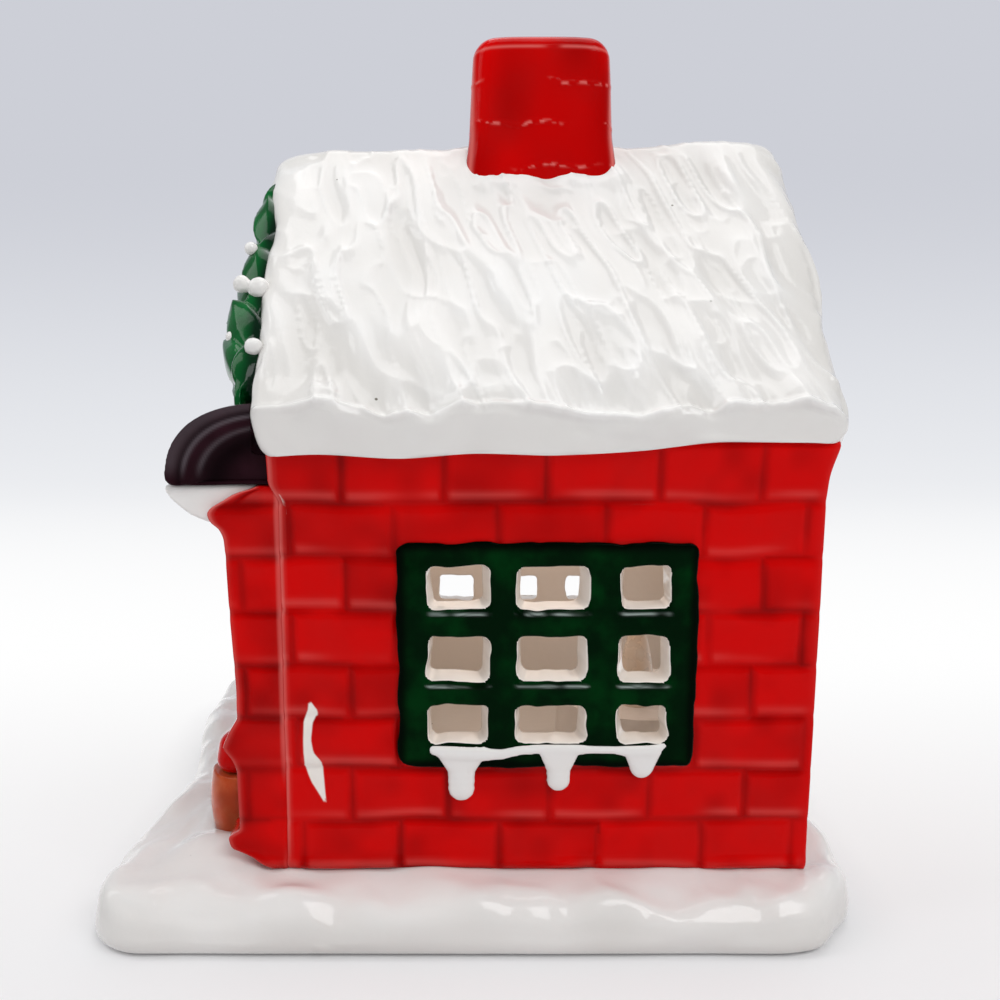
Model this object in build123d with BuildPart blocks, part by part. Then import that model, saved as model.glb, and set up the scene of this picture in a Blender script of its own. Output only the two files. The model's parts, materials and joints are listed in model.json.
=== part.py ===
from build123d import *
import math
import os

os.makedirs("parts", exist_ok=True)

# A glazed ceramic village house on a snow base, lit by a battery tea light.
# Millimetres, +Z up, origin under the middle of the snow base.
# The door faces -Y, the back arch faces +Y and the right side wall faces +X.

# Shared values
fit_gap = 0.1
slide_gap = 0.25

# Snow base
base_height = 10.8
front_yard = 35.4
back_yard = 9.6
side_yard = 10.5
base_corner_radius = 11.0
base_edge_radius = 3.4
base_foot_radius = 1.6

# Brick walls
wall_width = 105.0
wall_length = 97.0
wall_height = 78.2
wall_thickness = 4.0

# Roof
roof_pitch = 44.0
roof_thickness = 7.3
roof_side_overhang = 3.0
roof_front_overhang = 3.9
roof_back_overhang = 2.4
ridge_radius = 5.0
eave_radius = 2.4
rake_radius = 2.2

# Brushed strokes in the snow on the roof
stroke_columns = 6
stroke_length = 19.0
stroke_width = 6.4
stroke_height = 1.3
stroke_sink = 0.3
stroke_draft = 48.0
stroke_lean = 24.0
stroke_row_shares = (0.37, 0.61, 0.83)
stroke_shift_shares = (0.35, 0.65, 0.45)

# Chimney
chimney_length = 30.0
chimney_width = 20.0
chimney_height = 19.2
chimney_draft = 1.3
chimney_back_gap = 35.1
chimney_edge_radius = 4.4
chimney_crown_share = 0.8

# Side windows
window_width = 53.7
window_height = 41.8
window_sill_height = 20.7
window_back_gap = 22.2
window_border = 4.6
window_lip = 2.0
window_proud = 1.0
window_corner_radius = 2.0
muntin_width = 5.0
pane_columns = 3
pane_rows = 3
pane_corner_radius = 1.4

# Snow on the window sills
sill_snow_height = 2.6
sill_snow_depth = 1.3
drip_width = 4.6
drip_length = 11.2
drip_place_shares = (-0.38, 0.04, 0.40)
drip_length_shares = (1.0, 0.8, 0.6)

# Front porch
pilaster_width = 8.0
pilaster_depth = 9.0
awning_drop = 5.6
awning_reach = 19.3
awning_rise = 14.4
awning_edge_radius = 1.6
soffit_drop = 7.2
soffit_lip = 0.9

# Door, doorstep and front windows
door_width = 24.0
door_height = 44.0
door_depth = 1.6
door_panel_depth = 0.7
door_panel_margin = 4.0
door_frame_width = 3.4
door_frame_depth = 2.8
knob_radius = 1.3
step_margin = 5.0
step_depth = 10.0
step_height = 3.0
step_edge_radius = 0.8
front_window_width = 17.0
front_window_height = 23.0
front_window_sill_height = 24.0
front_window_depth = 1.6
front_window_border = 2.2
front_muntin_width = 2.0
front_pane_depth = 0.8

# Garlands
garland_depth = 5.5
garland_stem_width = 4.4
garland_inset = 4.2
leaf_length = 19.0
leaf_width = 8.6
leaf_pairs = 5
leaf_turn = 38.0
berry_radius = 2.1
berry_place_shares = (0.30, 0.46, 0.63, 0.80)

# Planted tub
tub_gap = 1.2
tub_radius = 7.4
tub_foot_radius = 6.6
tub_height = 13.6
plant_radius = 5.7
plant_foot_radius = 4.6
plant_height = 11.2

# Back arch
arch_side_room = 4.3
arch_head_room = 5.0

# Tea light
tea_radius = 18.75
tea_top_radius = 18.2
tea_height = 16.0
tea_wall = 1.2
tea_rim_width = 1.4
tea_dish_depth = 2.4
tea_back_gap = 1.0
lens_radius = 4.0
lens_flange_radius = 6.2
lens_flange_height = 1.0
lens_rise = 19.0
lens_wall = 1.1
led_radius = 1.5
led_height = 4.2
led_rim_radius = 1.9
led_rim_height = 0.8
plate_recess = 0.6
plate_thickness = 1.6
cell_radius = 10.0
cell_height = 3.2
cell_cap_radius = 8.8
cell_cap_height = 0.3
well_wall = 1.2
well_roof = 1.0
post_radius = 2.6
spring_thickness = 0.3
spring_width = 3.0
clip_thickness = 0.4
clip_width = 4.0
tab_width = 5.0
tab_thickness = 0.9
screw_head_radius = 1.5
screw_head_height = 0.5
screw_radius = 0.8
screw_length = 3.6
screw_wall = 1.1
screw_gap = 1.2
knob_length = 3.0
knob_width = 2.4
shoe_length = 5.0
shoe_width = 3.6
shoe_height = 0.8
switch_travel = 2.6

# Places worked out from the sizes above
floor_z = base_height
wall_half = wall_width / 2
inner_half = wall_half - wall_thickness
base_width = wall_width + 2 * side_yard
base_length = front_yard + wall_length + back_yard
wall_back = base_length / 2 - back_yard
wall_front = wall_back - wall_length
rise = math.tan(math.radians(roof_pitch))
slope_cos = math.cos(math.radians(roof_pitch))
slope_sin = math.sin(math.radians(roof_pitch))
eave_z = floor_z + wall_height
inner_eave_z = eave_z + wall_thickness * rise
under_ridge_z = eave_z + wall_half * rise
ridge_z = under_ridge_z + roof_thickness / slope_cos
eave_half = wall_half + roof_side_overhang
eave_top_z = ridge_z - eave_half * rise
roof_front = wall_front - roof_front_overhang
roof_back = wall_back + roof_back_overhang
window_y = wall_back - window_back_gap - window_width / 2
window_z = floor_z + window_sill_height + window_height / 2
pilaster_front = wall_front - pilaster_depth
awning_z = eave_z - awning_drop
garland_front = roof_front - garland_depth
step_top_z = floor_z + step_height
lens_top = tea_height + lens_rise
arch_width = 2 * (tea_radius + arch_side_room)
arch_height = lens_top + arch_head_room
tea_middle_radius = (tea_radius + tea_top_radius) / 2
tea_y = wall_back - wall_thickness - tea_back_gap - tea_middle_radius


def across(y):
    """A plane across the house at y: local x is X, local y is Z, and it faces the front."""
    return Plane.XZ.offset(-y)


def along(x):
    """A plane along the house at x: local x is Y, local y is Z, and it faces right."""
    return Plane.YZ.offset(x)


def window_plane(x):
    """A plane along the house at x, centred on the side window."""
    return Plane(origin=(x, window_y, window_z), x_dir=(0, 1, 0), z_dir=(1, 0, 0))


def tea_plane(height):
    """A level plane on the tea light's axis, at a height above the house floor."""
    return Plane(origin=(0, tea_y, floor_z + height))


def tea_inside(height):
    """The radius of the tea light's tapered room, at a height above the house floor."""
    return tea_radius - tea_wall - (tea_radius - tea_top_radius) * height / tea_height


# A dome made with this alignment stands on its plane
seated = (Align.CENTER, Align.CENTER, Align.MIN)


def save(builder, name):
    builder.part.label = name
    export_step(builder.part, f"parts/{name}.step")


# Outline of the whole house under the snow, shared by the roof and the chimney
with BuildSketch(across(roof_front)) as roof_outline:
    with BuildLine():
        Polyline(
            (-eave_half, eave_z),
            (-eave_half, eave_top_z),
            (0, ridge_z),
            (eave_half, eave_top_z),
            (eave_half, eave_z),
            close=True,
        )
    make_face()
    fillet(roof_outline.vertices().group_by(Axis.Y)[1], radius=eave_radius)
    fillet(roof_outline.vertices().sort_by(Axis.Y)[-1], radius=ridge_radius)

# Space under the roof, which the gable walls fill at both ends
with BuildSketch(across(roof_front)) as attic_outline:
    with BuildLine():
        Polyline((-wall_half, eave_z), (0, under_ridge_z), (wall_half, eave_z), close=True)
    make_face()

# End outline of the awning, a quarter of an ellipse against the front wall
with BuildSketch(along(-wall_half)) as awning_outline:
    with BuildLine():
        Polyline(
            (wall_front, awning_z + awning_rise),
            (wall_front, awning_z),
            (wall_front - awning_reach, awning_z),
        )
        EllipticalCenterArc(
            (wall_front, awning_z),
            awning_reach,
            awning_rise,
            start_angle=90,
            arc_size=90,
        )
    make_face()

# Snow base
with BuildPart() as snow_base:
    with BuildSketch():
        RectangleRounded(base_width, base_length, base_corner_radius)
    extrude(amount=base_height)
    fillet(snow_base.edges().group_by(Axis.Z)[-1], radius=base_edge_radius)
    fillet(snow_base.edges().group_by(Axis.Z)[0], radius=base_foot_radius)
save(snow_base, "snow_base")

# Side walls, with an opening for the window lattice
with BuildPart() as right_wall:
    with BuildSketch(across(wall_front)):
        with BuildLine():
            Polyline(
                (inner_half, floor_z),
                (wall_half, floor_z),
                (wall_half, eave_z),
                (inner_half, inner_eave_z),
                close=True,
            )
        make_face()
    extrude(amount=-wall_length)
    with BuildSketch(window_plane(inner_half)):
        Rectangle(window_width - 2 * window_lip, window_height - 2 * window_lip)
    extrude(amount=wall_thickness, mode=Mode.SUBTRACT)
save(right_wall, "right_wall")

with BuildPart() as left_wall:
    mirror(right_wall.part, about=Plane.YZ)
save(left_wall, "left_wall")

# Gable walls, the back one with the arch that the tea light goes through
with BuildSketch(across(wall_front)) as gable_outline:
    with BuildLine():
        Polyline(
            (-inner_half, floor_z),
            (-inner_half, inner_eave_z),
            (0, under_ridge_z),
            (inner_half, inner_eave_z),
            (inner_half, floor_z),
            close=True,
        )
    make_face()

with BuildPart() as front_wall:
    extrude(gable_outline.sketch, amount=-wall_thickness)
save(front_wall, "front_wall")

with BuildPart() as back_wall:
    extrude(gable_outline.sketch.moved(Location((0, wall_length, 0))), amount=wall_thickness)
    with BuildSketch(across(wall_back)):
        arch_spring = arch_height - arch_width / 2
        with Locations((0, floor_z + arch_spring / 2)):
            Rectangle(arch_width, arch_spring)
        with Locations((0, floor_z + arch_spring)):
            Circle(arch_width / 2)
    extrude(amount=wall_thickness, mode=Mode.SUBTRACT)
save(back_wall, "back_wall")

# Roof
with BuildPart() as roof:
    extrude(roof_outline.sketch, amount=roof_front - roof_back)
    ends = roof.faces().filter_by(Axis.Y)
    rakes = ends.edges().filter_by(GeomType.LINE).group_by(Axis.Z)[-1]
    fillet(rakes, radius=rake_radius)
    extrude(attic_outline.sketch, amount=roof_front - roof_back, mode=Mode.SUBTRACT)
    slope = Plane(origin=(0, roof_front, ridge_z), x_dir=(0, 1, 0), z_dir=(slope_sin, 0, slope_cos))
    slope_length = eave_half / slope_cos
    stroke_pitch = (roof_back - roof_front) / stroke_columns
    for column in range(stroke_columns):
        lean = stroke_lean * column / (stroke_columns - 1)
        for row_share, shift_share in zip(stroke_row_shares, stroke_shift_shares):
            with BuildSketch(slope.offset(-stroke_sink)):
                with Locations((stroke_pitch * (column + shift_share), -slope_length * row_share)):
                    SlotOverall(stroke_length, stroke_width, rotation=90 + lean)
            stroke = extrude(amount=stroke_sink + stroke_height, taper=stroke_draft)
            mirror(stroke, about=Plane.YZ)
save(roof, "roof")

# Chimney, notched over the ridge
chimney_y = roof_back - chimney_back_gap - chimney_length / 2
chimney_foot_z = ridge_z - rise * chimney_width / 2
with BuildPart() as chimney:
    with BuildSketch(Plane(origin=(0, chimney_y, chimney_foot_z))):
        RectangleRounded(chimney_width, chimney_length, chimney_edge_radius)
    with BuildSketch(Plane(origin=(0, chimney_y, ridge_z + chimney_height))):
        top_width = chimney_width - 2 * chimney_draft
        top_length = chimney_length - 2 * chimney_draft
        RectangleRounded(top_width, top_length, chimney_edge_radius)
    loft()
    fillet(chimney.edges().group_by(Axis.Z)[-1], radius=chimney_edge_radius * chimney_crown_share)
    extrude(roof_outline.sketch, amount=roof_front - roof_back, mode=Mode.SUBTRACT)
save(chimney, "chimney")

# Window lattices
pane_width = (window_width - 2 * window_border - (pane_columns - 1) * muntin_width) / pane_columns
pane_height = (window_height - 2 * window_border - (pane_rows - 1) * muntin_width) / pane_rows
with BuildPart() as right_window:
    with BuildSketch(window_plane(inner_half)):
        Rectangle(window_width - 2 * window_lip, window_height - 2 * window_lip)
    extrude(amount=wall_thickness)
    with BuildSketch(window_plane(wall_half)):
        RectangleRounded(window_width, window_height, window_corner_radius)
    extrude(amount=window_proud)
    with BuildSketch(window_plane(inner_half)):
        with GridLocations(
            pane_width + muntin_width, pane_height + muntin_width, pane_columns, pane_rows
        ):
            RectangleRounded(pane_width, pane_height, pane_corner_radius)
    extrude(amount=wall_thickness + window_proud, mode=Mode.SUBTRACT)
save(right_window, "right_window")

with BuildPart() as left_window:
    mirror(right_window.part, about=Plane.YZ)
save(left_window, "left_window")

# Snow lying on the sill below the panes, with drips that run down over the frame onto the wall
sill_snow_top = window_border - window_height / 2
sill_snow_width = window_width - 2 * window_border
with BuildPart() as right_sill_snow:
    with BuildSketch(window_plane(wall_half)):
        with Locations((0, sill_snow_top - sill_snow_height / 2)):
            SlotOverall(sill_snow_width, sill_snow_height)
        for place_share, length_share in zip(drip_place_shares, drip_length_shares):
            run = drip_length * length_share
            with Locations((sill_snow_width * place_share, sill_snow_top - run / 2)):
                SlotOverall(run, drip_width, rotation=90)
        with Locations((0, sill_snow_top + drip_length / 2)):
            Rectangle(window_width, drip_length, mode=Mode.SUBTRACT)
    extrude(amount=window_proud + sill_snow_depth)
    with BuildSketch(window_plane(wall_half)):
        RectangleRounded(window_width, window_height, window_corner_radius)
    extrude(amount=window_proud, mode=Mode.SUBTRACT)
save(right_sill_snow, "right_sill_snow")

with BuildPart() as left_sill_snow:
    mirror(right_sill_snow.part, about=Plane.YZ)
save(left_sill_snow, "left_sill_snow")

# Brick pillars at the front corners
with BuildPart() as right_pilaster:
    with BuildSketch(Plane.XY.offset(floor_z)):
        with Locations((wall_half - pilaster_width / 2, wall_front - pilaster_depth / 2)):
            Rectangle(pilaster_width, pilaster_depth)
    extrude(amount=awning_z - floor_z)
save(right_pilaster, "right_pilaster")

with BuildPart() as left_pilaster:
    mirror(right_pilaster.part, about=Plane.YZ)
save(left_pilaster, "left_pilaster")

# Awning across the front, trimmed where the roof overhangs it
with BuildPart() as awning:
    extrude(awning_outline.sketch, amount=wall_width)
    nose = awning.edges().filter_by(Axis.X).sort_by(Axis.Y)[0]
    fillet(nose, radius=awning_edge_radius)
    add(roof.part, mode=Mode.SUBTRACT)
save(awning, "awning")

# White wedge under the awning, in front of the pillars
with BuildPart() as awning_soffit:
    soffit_front = wall_front - awning_reach + awning_edge_radius
    soffit_z = awning_z - soffit_drop
    with BuildSketch(along(-wall_half)):
        with BuildLine():
            Polyline(
                (pilaster_front, soffit_z),
                (pilaster_front, awning_z),
                (soffit_front, awning_z),
                (soffit_front, awning_z - soffit_lip),
            )
            RadiusArc(
                (soffit_front, awning_z - soffit_lip),
                (pilaster_front, soffit_z),
                -(awning_reach - pilaster_depth),
            )
        make_face()
    extrude(amount=wall_width)
save(awning_soffit, "awning_soffit")

# Doorstep
with BuildPart() as door_step:
    step_width = door_width + 2 * (door_frame_width + step_margin)
    with BuildSketch(Plane.XY.offset(floor_z)):
        with Locations((0, wall_front - step_depth / 2)):
            Rectangle(step_width, step_depth)
    extrude(amount=step_height)
    fillet(door_step.edges().group_by(Axis.Z)[-1], radius=step_edge_radius)
save(door_step, "door_step")

# Door with two sunk panels, in an arched surround
door_spring = door_height - door_width / 2
with BuildSketch(across(wall_front)) as door_outline:
    with Locations((0, step_top_z + door_spring / 2)):
        Rectangle(door_width, door_spring)
    with Locations((0, step_top_z + door_spring)):
        Circle(door_width / 2)

with BuildPart() as front_door:
    extrude(door_outline.sketch, amount=door_depth)
    panel_height = (door_spring - 3 * door_panel_margin) / 2
    with BuildSketch(across(wall_front - door_depth)):
        with Locations((0, step_top_z + door_spring / 2)):
            with GridLocations(0, panel_height + door_panel_margin, 1, 2):
                Rectangle(door_width - 2 * door_panel_margin, panel_height)
        with Locations((0, step_top_z + door_spring)):
            Circle(door_width / 2 - door_panel_margin, arc_size=180)
    extrude(amount=-door_panel_depth, mode=Mode.SUBTRACT)
save(front_door, "front_door")

with BuildPart() as door_frame:
    with BuildSketch(across(wall_front)):
        with Locations((0, step_top_z + door_spring / 2)):
            Rectangle(door_width + 2 * door_frame_width, door_spring)
        with Locations((0, step_top_z + door_spring)):
            Circle(door_width / 2 + door_frame_width)
        add(door_outline.sketch, mode=Mode.SUBTRACT)
    extrude(amount=door_frame_depth)
save(door_frame, "door_frame")

with BuildPart(across(wall_front - door_depth)) as door_knob:
    with Locations((door_width / 2 - door_panel_margin / 2, step_top_z + door_spring / 2)):
        Sphere(knob_radius, arc_size1=0, align=seated)
save(door_knob, "door_knob")

# Small blind windows on both sides of the door
bay_inside = door_width / 2 + door_frame_width
bay_outside = wall_half - pilaster_width
front_window_x = (bay_inside + bay_outside) / 2
front_window_z = floor_z + front_window_sill_height + front_window_height / 2
front_pane_width = (front_window_width - 2 * front_window_border - front_muntin_width) / 2
front_pane_height = (front_window_height - 2 * front_window_border - front_muntin_width) / 2
with BuildPart() as right_front_window:
    with BuildSketch(across(wall_front)):
        with Locations((front_window_x, front_window_z)):
            Rectangle(front_window_width, front_window_height)
    extrude(amount=front_window_depth)
    with BuildSketch(across(wall_front - front_window_depth)):
        with Locations((front_window_x, front_window_z)):
            with GridLocations(
                front_pane_width + front_muntin_width,
                front_pane_height + front_muntin_width,
                2,
                2,
            ):
                Rectangle(front_pane_width, front_pane_height)
    extrude(amount=-front_pane_depth, mode=Mode.SUBTRACT)
save(right_front_window, "right_front_window")

with BuildPart() as left_front_window:
    mirror(right_front_window.part, about=Plane.YZ)
save(left_front_window, "left_front_window")

# Leaf garlands up the front edges of the roof
with BuildSketch() as leaf:
    with BuildLine():
        ThreePointArc((-leaf_length / 2, 0), (0, leaf_width / 2), (leaf_length / 2, 0))
        ThreePointArc((leaf_length / 2, 0), (0, -leaf_width / 2), (-leaf_length / 2, 0))
    make_face()


def rake_point(share):
    """A point in the middle of the garland, from the ridge at 0 to the eave at 1."""
    across_x = share * eave_half
    return (across_x - garland_inset * slope_sin, ridge_z - across_x * rise - garland_inset * slope_cos)


leaf_places = []
for pair in range(leaf_pairs):
    leaf_x, leaf_z = rake_point((pair + 0.5) / leaf_pairs)
    for turn in (leaf_turn, -leaf_turn):
        leaf_places.append(Location((leaf_x, leaf_z, 0), (0, 0, turn - roof_pitch)))

with BuildPart() as right_garland:
    stem_x, stem_z = rake_point(0.5)
    with BuildSketch(across(roof_front)):
        with Locations((stem_x, stem_z)):
            Rectangle(eave_half / slope_cos, garland_stem_width, rotation=-roof_pitch)
        with Locations(*leaf_places):
            add(leaf.sketch)
    extrude(amount=garland_depth)
    extrude(awning_outline.sketch, amount=wall_width, mode=Mode.SUBTRACT)
    split(bisect_by=Plane.YZ, keep=Keep.TOP)
save(right_garland, "right_garland")

with BuildPart() as left_garland:
    mirror(right_garland.part, about=Plane.YZ)
save(left_garland, "left_garland")

# White balls on the stems of both garlands
with BuildPart(across(garland_front)) as garland_berries:
    for share in berry_place_shares:
        berry_x, berry_z = rake_point(share)
        with Locations((berry_x, berry_z), (-berry_x, berry_z)):
            Sphere(berry_radius, arc_size1=0, align=seated)
save(garland_berries, "garland_berries")

# Tub beside the right pillar, with a rounded plant in it
tub_x = wall_half - pilaster_width - tub_gap - tub_radius
tub_y = wall_front - front_window_depth - tub_gap - tub_radius
tub_axis = Axis((tub_x, tub_y, floor_z), (0, 0, 1))
tub_plane = Plane(origin=(tub_x, tub_y, floor_z), x_dir=(1, 0, 0), z_dir=(0, -1, 0))
with BuildPart() as plant_tub:
    with BuildSketch(tub_plane):
        with BuildLine():
            Polyline((tub_foot_radius, tub_height), (0, tub_height), (0, 0), (tub_foot_radius, 0))
            ThreePointArc(
                (tub_foot_radius, 0), (tub_radius, tub_height / 2), (tub_foot_radius, tub_height)
            )
        make_face()
    revolve(axis=tub_axis)
save(plant_tub, "plant_tub")

with BuildPart() as tub_plant:
    plant_top = tub_height + plant_height
    with BuildSketch(tub_plane):
        with BuildLine():
            Polyline((0, plant_top), (0, tub_height), (plant_foot_radius, tub_height))
            Spline(
                (plant_foot_radius, tub_height),
                (plant_radius, (tub_height + plant_top) / 2),
                (0, plant_top),
                tangents=((1, 1), (-1, 0)),
            )
        make_face()
    revolve(axis=tub_axis)
save(tub_plant, "tub_plant")

# Tea light: a shell open below, with a dished top and a hole for the flame
tea_axis = Axis((0, tea_y, floor_z), (0, 0, 1))
tea_section = Plane(origin=(0, tea_y, floor_z), x_dir=(1, 0, 0), z_dir=(0, -1, 0))
dish_z = tea_height - tea_dish_depth
lens_hole_radius = lens_radius + fit_gap
with BuildPart() as tea_light_shell:
    with BuildSketch(tea_section):
        with BuildLine():
            Polyline(
                (tea_inside(0), 0),
                (tea_radius, 0),
                (tea_top_radius, tea_height),
                (tea_top_radius - tea_rim_width, tea_height),
                (tea_top_radius - tea_rim_width - tea_dish_depth, dish_z),
                (lens_hole_radius, dish_z),
                (lens_hole_radius, dish_z - tea_wall),
                (tea_inside(dish_z - tea_wall), dish_z - tea_wall),
                close=True,
            )
        make_face()
    revolve(axis=tea_axis)
save(tea_light_shell, "tea_light_shell")

# Flame, a hollow lens with a flange under the dish
lens_foot = dish_z - tea_wall - lens_flange_height
lens_bore = lens_radius - lens_wall
with BuildPart() as flame_lens:
    with BuildSketch(tea_section):
        with BuildLine():
            Polyline(
                (lens_bore, lens_foot),
                (lens_flange_radius, lens_foot),
                (lens_flange_radius, lens_foot + lens_flange_height),
                (lens_radius, lens_foot + lens_flange_height),
                (lens_radius, tea_height),
            )
            Spline((lens_radius, tea_height), (0, lens_top), tangents=((0, 1), (-1, 2)))
            Line((0, lens_top), (0, lens_top - lens_rise / 2))
            Spline(
                (0, lens_top - lens_rise / 2),
                (lens_bore, dish_z),
                tangents=((1, -1), (0, -1)),
            )
            Line((lens_bore, dish_z), (lens_bore, lens_foot))
        make_face()
    revolve(axis=tea_axis)
save(flame_lens, "flame_lens")

# Base plate with the cell well, the lamp post and the screw boss
plate_z = plate_recess
plate_top = plate_z + plate_thickness
cell_top = plate_top + cell_height
well_top = cell_top + spring_thickness + well_roof
well_radius = cell_radius + clip_thickness + fit_gap
post_top = lens_foot - led_rim_height
plate_radius = min(tea_inside(plate_z), tea_inside(plate_top)) - fit_gap
boss_room = min(tea_inside(plate_top), tea_inside(plate_top + screw_length))
screw_place = boss_room - screw_gap - screw_wall - screw_radius
shoe_room = min(tea_inside(plate_top), tea_inside(plate_top + slide_gap + shoe_height)) - slide_gap
switch_place = math.sqrt(shoe_room**2 - (shoe_length / 2 + switch_travel) ** 2) - shoe_width / 2
slot_length = knob_length + switch_travel + 2 * slide_gap
with BuildPart() as tea_light_base_plate:
    with BuildSketch(tea_plane(plate_z)):
        Circle(plate_radius)
    extrude(amount=plate_thickness)
    with BuildSketch(tea_plane(plate_z)):
        Circle(well_radius + well_wall)
    extrude(amount=well_top - plate_z)
    with BuildSketch(tea_plane(well_top)):
        Circle(post_radius)
    extrude(amount=post_top - well_top)
    with BuildSketch(tea_plane(plate_top)):
        with Locations((screw_place, 0)):
            Circle(screw_radius + screw_wall)
    extrude(amount=screw_length)
    with BuildSketch(tea_plane(plate_z)):
        Circle(well_radius)
    extrude(amount=well_top - well_roof - plate_z, mode=Mode.SUBTRACT)
    with BuildSketch(tea_plane(plate_z)):
        with Locations((screw_place, 0)):
            Circle(screw_radius + fit_gap)
    extrude(amount=plate_thickness + screw_length, mode=Mode.SUBTRACT)
    with BuildSketch(tea_plane(plate_z)):
        with Locations((screw_place / 2, 0)):
            Rectangle(screw_place, tab_width + 2 * fit_gap)
        with Locations((screw_place, 0)):
            Circle(tab_width / 2 + fit_gap)
    extrude(amount=tab_thickness, mode=Mode.SUBTRACT)
    with BuildSketch(tea_plane(plate_z)):
        with Locations((-switch_place, switch_travel / 2)):
            Rectangle(knob_width + 2 * slide_gap, slot_length)
    extrude(amount=plate_thickness, mode=Mode.SUBTRACT)
save(tea_light_base_plate, "tea_light_base_plate")

# Lamp on its post, under the flame
with BuildPart() as led:
    with BuildSketch(tea_plane(post_top)):
        Circle(led_rim_radius)
    extrude(amount=led_rim_height)
    with BuildSketch(tea_plane(post_top + led_rim_height)):
        Circle(led_radius)
    extrude(amount=led_height - led_radius)
    with Locations((0, tea_y, floor_z + post_top + led_rim_height + led_height - led_radius)):
        Sphere(led_radius)
save(led, "led")

# Coin cell, can side down
with BuildPart() as coin_cell:
    with BuildSketch(tea_plane(plate_top)):
        Circle(cell_radius)
    extrude(amount=cell_height - cell_cap_height)
    with BuildSketch(tea_plane(plate_top)):
        Circle(cell_cap_radius)
    extrude(amount=cell_height)
save(coin_cell, "coin_cell")

# Contacts: a leaf over the cell's cap and a strip beside its can
with BuildPart() as negative_spring:
    with BuildSketch(tea_plane(cell_top)):
        Rectangle(2 * cell_cap_radius, spring_width)
        Circle(cell_cap_radius / 2)
    extrude(amount=spring_thickness)
save(negative_spring, "negative_spring")

with BuildPart() as positive_clip:
    with BuildSketch(tea_plane(plate_top)):
        with Locations((0, cell_radius + clip_thickness / 2)):
            Rectangle(clip_width, clip_thickness)
        Circle(cell_radius, mode=Mode.SUBTRACT)
        Circle(well_radius, mode=Mode.INTERSECT)
    extrude(amount=cell_height - cell_cap_height)
save(positive_clip, "positive_clip")

# Battery door under the cell, held by one screw through its tab
with BuildPart() as battery_door:
    with BuildSketch(tea_plane(plate_z)):
        Circle(well_radius - fit_gap)
    extrude(amount=plate_thickness)
    with BuildSketch(tea_plane(plate_z)):
        with Locations((screw_place / 2, 0)):
            Rectangle(screw_place, tab_width)
        with Locations((screw_place, 0)):
            Circle(tab_width / 2)
    extrude(amount=tab_thickness)
    with BuildSketch(tea_plane(plate_z)):
        with Locations((screw_place, 0)):
            Circle(screw_head_radius + fit_gap)
    extrude(amount=screw_head_height, mode=Mode.SUBTRACT)
    with BuildSketch(tea_plane(plate_z)):
        with Locations((screw_place, 0)):
            Circle(screw_radius + fit_gap)
    extrude(amount=tab_thickness, mode=Mode.SUBTRACT)
save(battery_door, "battery_door")

with BuildPart() as battery_door_screw:
    with BuildSketch(tea_plane(plate_z)):
        with Locations((screw_place, 0)):
            Circle(screw_head_radius)
            SlotOverall(2 * screw_radius, screw_radius / 2, mode=Mode.SUBTRACT)
    extrude(amount=screw_head_height)
    with BuildSketch(tea_plane(plate_z + screw_head_height)):
        with Locations((screw_place, 0)):
            Circle(screw_radius)
    extrude(amount=screw_length)
save(battery_door_screw, "battery_door_screw")

# Switch, a knob in the slot with a wider shoe above the plate
with BuildPart() as switch_knob:
    with BuildSketch(tea_plane(slide_gap)):
        with Locations((-switch_place, 0)):
            Rectangle(knob_width, knob_length)
    extrude(amount=plate_top)
    with BuildSketch(tea_plane(plate_top + slide_gap)):
        with Locations((-switch_place, 0)):
            Rectangle(shoe_width, shoe_length)
    extrude(amount=shoe_height)
save(switch_knob, "switch_knob")
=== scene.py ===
import itertools
import json
import math

import bmesh
import bpy
import numpy as np
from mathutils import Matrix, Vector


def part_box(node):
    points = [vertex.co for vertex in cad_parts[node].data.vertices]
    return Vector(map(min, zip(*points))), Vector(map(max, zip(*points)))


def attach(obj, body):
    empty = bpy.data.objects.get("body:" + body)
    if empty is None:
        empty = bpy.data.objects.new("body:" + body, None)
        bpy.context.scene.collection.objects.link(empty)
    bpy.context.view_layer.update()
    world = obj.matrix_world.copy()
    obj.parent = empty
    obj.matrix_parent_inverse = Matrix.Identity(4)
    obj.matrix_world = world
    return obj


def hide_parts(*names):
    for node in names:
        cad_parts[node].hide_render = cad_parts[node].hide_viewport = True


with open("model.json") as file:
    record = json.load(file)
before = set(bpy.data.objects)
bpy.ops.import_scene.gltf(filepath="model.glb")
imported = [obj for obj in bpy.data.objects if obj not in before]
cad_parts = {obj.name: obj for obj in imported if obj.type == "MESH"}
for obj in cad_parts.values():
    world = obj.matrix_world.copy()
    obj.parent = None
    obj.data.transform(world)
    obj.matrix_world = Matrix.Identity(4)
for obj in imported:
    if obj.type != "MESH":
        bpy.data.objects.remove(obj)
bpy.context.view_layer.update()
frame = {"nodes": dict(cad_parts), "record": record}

# Looks of a glazed ceramic village house on a snow base.
# Shapes are worked out in millimetres, in the model's own frame, and stored in metres.
MM = 0.001

record = frame["record"]
body_of = {node: body for body, nodes in record["behaviour"]["bodies"].items() for node in nodes}
slot_of = {part["node"]: part["material_slot"] for part in record["subparts"]}


def corners(node):
    """Lowest and highest corner of a CAD node, in millimetres."""
    low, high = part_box(node)
    return np.array(low) / MM, np.array(high) / MM


# Places taken from the frame
ground = corners("snow_base")[1][2]
wall_low, wall_high = corners("right_wall")
wall_front, wall_back = wall_low[1], wall_high[1]
wall_half, inner_half = wall_high[0], wall_low[0]
roof_low, roof_high = corners("roof")
eave_z, eave_half = roof_low[2], roof_high[0]
roof_front, roof_back = roof_low[1], roof_high[1]
gable_top = corners("front_wall")[1][2]
pitch = math.atan2(gable_top - eave_z, wall_half)


# Formulas for shapes


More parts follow.
